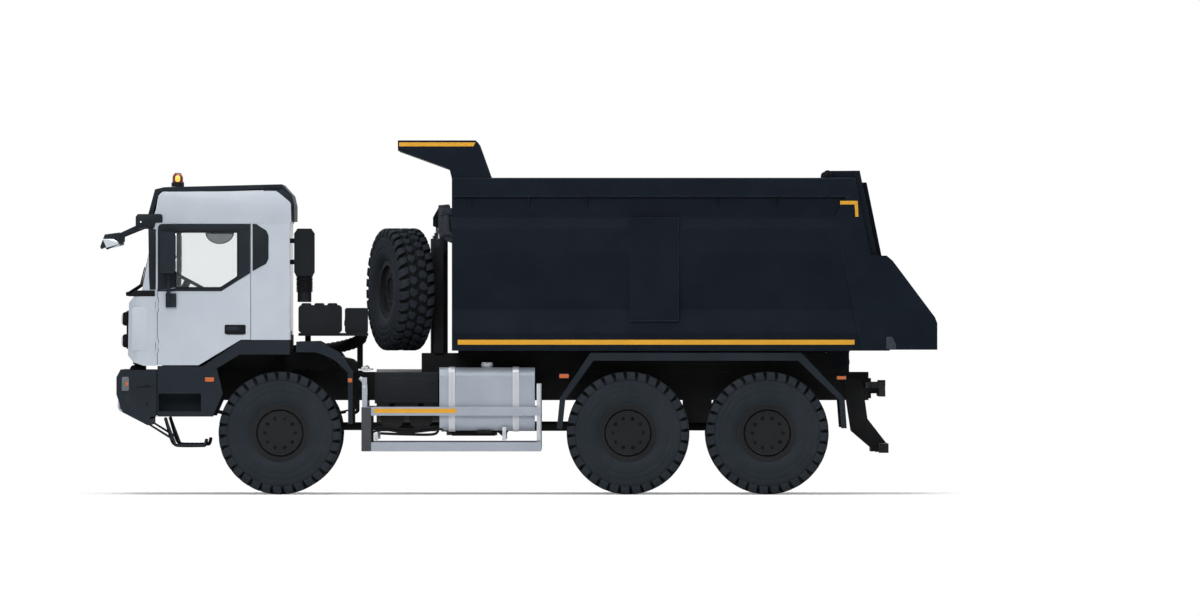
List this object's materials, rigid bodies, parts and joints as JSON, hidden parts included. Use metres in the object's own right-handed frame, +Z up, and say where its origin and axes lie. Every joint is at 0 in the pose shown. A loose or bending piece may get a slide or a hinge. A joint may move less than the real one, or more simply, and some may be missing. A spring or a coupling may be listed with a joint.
{
  "type": "three-axle dump truck",
  "caption": "Rigid dump truck with a tilting day cab, steel tipping bed with cab canopy and chute, front hoist and side-stowed spare wheel.",
  "frame": {"origin": "on the ground under the middle of the truck's overall box", "axes": "+Z up, -X towards the cab, +Y towards the truck's right side"},
  "size_m": [8.656, 2.98, 3.662],
  "materials": {
    "cab_paint": "glossy light grey",
    "bed_paint": "satin dark navy",
    "frame_black": "satin black",
    "trim_plastic": "moulded dark grey",
    "guard_plastic": "moulded black",
    "box_plastic": "moulded black",
    "visor_plastic": "smoked",
    "dash_plastic": "grained",
    "lamp_plastic": "clear lens",
    "tyre_rubber": "matt",
    "rim_steel": "satin black",
    "engine_iron": "painted casting",
    "axle_iron": "painted casting",
    "tank_aluminium": "brushed",
    "rail_aluminium": "drawn",
    "silencer_steel": "brushed",
    "hoist_paint": "satin",
    "hoist_rod": "ground",
    "window_glass": "lightly tinted",
    "seat_fabric": "woven"
  },
  "bodies": {
    "chassis": {"chassis_frame": "frame_black", "tipper_subframe": "frame_black", "engine_block": "engine_iron", "driveline": "axle_iron", "axles": "axle_iron", "leaf_springs": "axle_iron", "front_bumper": "trim_plastic", "lamps": "lamp_plastic", "mudguards": "guard_plastic", "equipment_box": "box_plastic", "battery_box": "box_plastic", "air_tanks": "axle_iron", "fuel_tank": "tank_aluminium", "silencer": "silencer_steel", "side_guards": "rail_aluminium", "spare_carrier": "frame_black", "spare_tyre": "tyre_rubber", "spare_rim": "rim_steel", "underrun_bar": "frame_black", "tow_coupling": "axle_iron"},
    "cab": {"cab_floor": "box_plastic", "cab_shell": "cab_paint", "cab_roof": "trim_plastic", "cab_front": "cab_paint", "windscreen": "window_glass", "wheel_arches": "trim_plastic", "entry_steps": "trim_plastic", "visor_and_beacon": "visor_plastic", "dashboard": "dash_plastic", "seats": "seat_fabric", "air_snorkel": "box_plastic", "kerb_mirrors": "trim_plastic"},
    "door_left": {"door_left": "cab_paint", "door_left_glass": "window_glass", "door_left_mirror": "trim_plastic"},
    "door_right": {"door_right": "cab_paint", "door_right_glass": "window_glass", "door_right_mirror": "trim_plastic"},
    "knuckle_left": {"knuckle_left": "axle_iron"},
    "knuckle_right": {"knuckle_right": "axle_iron"},
    "wheel_front_left": {"tyre_front_left": "tyre_rubber", "rim_front_left": "rim_steel"},
    "wheel_front_right": {"tyre_front_right": "tyre_rubber", "rim_front_right": "rim_steel"},
    "wheel_middle_left": {"tyre_middle_left": "tyre_rubber", "rim_middle_left": "rim_steel"},
    "wheel_middle_right": {"tyre_middle_right": "tyre_rubber", "rim_middle_right": "rim_steel"},
    "wheel_rear_left": {"tyre_rear_left": "tyre_rubber", "rim_rear_left": "rim_steel"},
    "wheel_rear_right": {"tyre_rear_right": "tyre_rubber", "rim_rear_right": "rim_steel"},
    "bed": {"bed_floor": "bed_paint", "bed_headboard": "bed_paint", "bed_sides": "bed_paint"},
    "tailgate": {"tailgate": "bed_paint"},
    "hoist_barrel": {"hoist_barrel": "hoist_paint"},
    "hoist_stage_1": {"hoist_stage_1": "hoist_rod"},
    "hoist_stage_2": {"hoist_stage_2": "hoist_rod"},
    "hoist_stage_3": {"hoist_stage_3": "hoist_rod"}
  },
  "joints": [
    {"name": "steer_left", "type": "hinge", "parent": "chassis", "child": "knuckle_left", "pos_m": [-2.47, -0.945, 0.635], "axis": [0, 0, 1], "range_deg": [-30, 30]},
    {"name": "steer_right", "type": "hinge", "parent": "chassis", "child": "knuckle_right", "pos_m": [-2.47, 0.945, 0.635], "axis": [0, 0, 1], "range_deg": [-30, 30]},
    {"name": "spin_front_left", "type": "hinge", "parent": "knuckle_left", "child": "wheel_front_left", "pos_m": [-2.47, -1.045, 0.635], "axis": [0, 1, 0], "continuous": true},
    {"name": "spin_front_right", "type": "hinge", "parent": "knuckle_right", "child": "wheel_front_right", "pos_m": [-2.47, 1.045, 0.635], "axis": [0, 1, 0], "continuous": true},
    {"name": "spin_middle_left", "type": "hinge", "parent": "chassis", "child": "wheel_middle_left", "pos_m": [1.13, -1.045, 0.635], "axis": [0, 1, 0], "continuous": true},
    {"name": "spin_middle_right", "type": "hinge", "parent": "chassis", "child": "wheel_middle_right", "pos_m": [1.13, 1.045, 0.635], "axis": [0, 1, 0], "continuous": true},
    {"name": "spin_rear_left", "type": "hinge", "parent": "chassis", "child": "wheel_rear_left", "pos_m": [2.57, -1.045, 0.635], "axis": [0, 1, 0], "continuous": true},
    {"name": "spin_rear_right", "type": "hinge", "parent": "chassis", "child": "wheel_rear_right", "pos_m": [2.57, 1.045, 0.635], "axis": [0, 1, 0], "continuous": true},
    {"name": "cab_tilt", "type": "hinge", "parent": "chassis", "child": "cab", "pos_m": [-3.99, 0, 1.29], "axis": [0, -1, 0], "range_deg": [0, 50]},
    {"name": "door_left_swing", "type": "hinge", "parent": "cab", "child": "door_left", "pos_m": [-3.74, -1.25, 1.5], "axis": [0, 0, -1], "range_deg": [0, 65]},
    {"name": "door_right_swing", "type": "hinge", "parent": "cab", "child": "door_right", "pos_m": [-3.74, 1.25, 1.5], "axis": [0, 0, 1], "range_deg": [0, 65]},
    {"name": "bed_tilt", "type": "hinge", "parent": "chassis", "child": "bed", "pos_m": [3.336, 0, 1.368], "axis": [0, 1, 0], "range_deg": [0, 45]},
    {"name": "tailgate_swing", "type": "hinge", "parent": "bed", "child": "tailgate", "pos_m": [3.194, 0, 3.309], "axis": [0, -1, 0], "range_deg": [0, 65]},
    {"name": "hoist_swing", "type": "hinge", "parent": "chassis", "child": "hoist_barrel", "pos_m": [-0.832, 0, 1.35], "axis": [0, 1, 0], "range_deg": [0, 29.9]},
    {"name": "hoist_slide_1", "type": "slide", "parent": "hoist_barrel", "child": "hoist_stage_1", "axis": [0, 0, 1], "range_m": [0, 1.042]},
    {"name": "hoist_slide_2", "type": "slide", "parent": "hoist_stage_1", "child": "hoist_stage_2", "axis": [0, 0, 1], "range_m": [0, 1.042]},
    {"name": "hoist_slide_3", "type": "slide", "parent": "hoist_stage_2", "child": "hoist_stage_3", "axis": [0, 0, 1], "range_m": [0, 1.042]}
  ],
  "couplings": [
    {"joint": "steer_right", "follows": "steer_left", "ratio": 1},
    {"joint": "hoist_swing", "follows": "bed_tilt", "ratio": 0.65363},
    {"joint": "hoist_slide_1", "follows": "bed_tilt", "m_per_rad": 1.3202},
    {"joint": "hoist_slide_2", "follows": "bed_tilt", "m_per_rad": 1.3202},
    {"joint": "hoist_slide_3", "follows": "bed_tilt", "m_per_rad": 1.3202}
  ]
}
